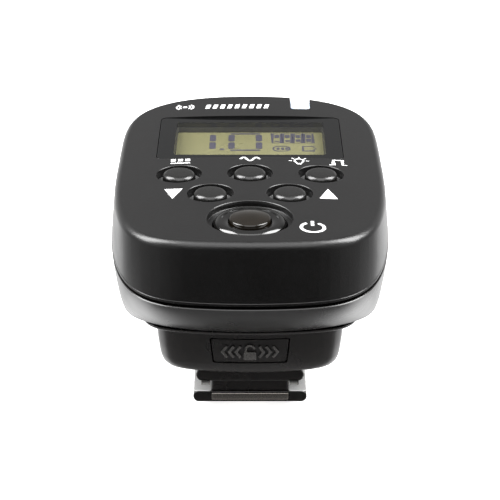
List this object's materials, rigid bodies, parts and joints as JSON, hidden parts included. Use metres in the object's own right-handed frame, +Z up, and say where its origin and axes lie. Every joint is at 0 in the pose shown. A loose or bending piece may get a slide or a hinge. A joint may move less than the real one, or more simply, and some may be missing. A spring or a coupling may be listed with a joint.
{
  "type": "wireless flash trigger",
  "caption": "Wireless flash trigger with a display, round push buttons, a release button and a locking shoe foot for a camera's accessory shoe.",
  "frame": {"origin": "middle of the foot's underside, where it rests in the camera's accessory shoe", "axes": "+Z up out of the shoe, +Y away from the user (the way the foot slides in), +X to the user's right"},
  "size_m": [0.0458, 0.0673, 0.037],
  "materials": {
    "casing": "fine satin texture, charcoal",
    "casing_dark": "satin, near black",
    "neck": "satin, near black",
    "button": "fine texture with a smooth rim",
    "gloss_black": "gloss",
    "smoke": "smoky translucent gloss",
    "window": "gloss, clear over the display",
    "lcd": "yellow-green reflective display",
    "light_pipe": "frosted, pale blue",
    "white_plastic": "white",
    "board": "green solder mask",
    "chip": "black epoxy",
    "steel": "bright",
    "foot_metal": "dark, fine lines across its end",
    "brass": "plated",
    "cell": "printed sleeve"
  },
  "bodies": {
    "root": {"top_shell": "casing", "bottom_shell": "casing_dark", "case_screw_1": "steel", "case_screw_2": "steel", "case_screw_3": "steel", "case_screw_4": "steel", "display_window": "window", "lcd_panel": "lcd", "lcd_backlight": "white_plastic", "lcd_frame": "white_plastic", "main_board": "board", "controller_chip": "chip", "radio_module": "steel", "status_led": "white_plastic", "power_led": "white_plastic", "antenna": "brass", "status_light_pipe": "light_pipe", "group_switch": "steel", "channel_switch": "steel", "mode_switch": "steel", "down_switch": "steel", "up_switch": "steel", "power_switch": "steel", "cell_left": "cell", "cell_right": "cell", "battery_spring": "steel", "battery_plate": "steel", "neck_housing": "neck", "unlock_spring": "steel", "lock_pin_spring": "steel", "contact_spring": "steel", "contact_board": "board", "shoe_cable": "chip", "neck_screw_1": "steel", "neck_screw_2": "steel", "shoe_collar": "neck", "foot_neck": "neck", "foot_plate": "neck", "foot_ground_plate": "foot_metal", "foot_screw_1": "steel", "foot_screw_2": "steel", "foot_screw_3": "steel", "foot_screw_4": "steel", "ground_spring_left": "steel", "ground_spring_right": "steel"},
    "group_button": {"group_button": "button"},
    "channel_button": {"channel_button": "button"},
    "mode_button": {"mode_button": "button"},
    "down_button": {"down_button": "button"},
    "up_button": {"up_button": "button"},
    "power_button": {"power_button_ring": "gloss_black", "power_button_cap": "smoke"},
    "unlock_button": {"unlock_button": "neck"},
    "lock_pin": {"lock_pin": "steel"},
    "contact_pin": {"contact_pin": "brass"},
    "battery_door": {"battery_door": "casing_dark", "door_contact": "steel"}
  },
  "joints": [
    {"name": "group_button_press", "type": "slide", "parent": "root", "child": "group_button", "axis": [0, 0, -1], "range_m": [0, 0.0005], "stiffness_N_per_m": 800},
    {"name": "channel_button_press", "type": "slide", "parent": "root", "child": "channel_button", "axis": [0, 0, -1], "range_m": [0, 0.0005], "stiffness_N_per_m": 800},
    {"name": "mode_button_press", "type": "slide", "parent": "root", "child": "mode_button", "axis": [0, 0, -1], "range_m": [0, 0.0005], "stiffness_N_per_m": 800},
    {"name": "down_button_press", "type": "slide", "parent": "root", "child": "down_button", "axis": [0, 0, -1], "range_m": [0, 0.0005], "stiffness_N_per_m": 800},
    {"name": "up_button_press", "type": "slide", "parent": "root", "child": "up_button", "axis": [0, 0, -1], "range_m": [0, 0.0005], "stiffness_N_per_m": 800},
    {"name": "power_button_press", "type": "slide", "parent": "root", "child": "power_button", "axis": [0, 0, -1], "range_m": [0, 0.0006], "stiffness_N_per_m": 900},
    {"name": "unlock_press", "type": "slide", "parent": "root", "child": "unlock_button", "axis": [0, 1, 0], "range_m": [0, 0.0013], "stiffness_N_per_m": 500, "deforming": ["unlock_spring"]},
    {"name": "lock_pin_lift", "type": "slide", "parent": "root", "child": "lock_pin", "axis": [0, 0, 1], "range_m": [0, 0.0013], "deforming": ["lock_pin_spring"]},
    {"name": "contact_pin_press", "type": "slide", "parent": "root", "child": "contact_pin", "axis": [0, 0, 1], "range_m": [0, 0.0008], "stiffness_N_per_m": 500, "deforming": ["contact_spring"]},
    {"name": "battery_door_slide", "type": "slide", "parent": "root", "child": "battery_door", "axis": [0, 1, 0], "range_m": [0, 0.01]}
  ],
  "couplings": [
    {"joint": "lock_pin_lift", "follows": "unlock_press", "ratio": 1}
  ]
}
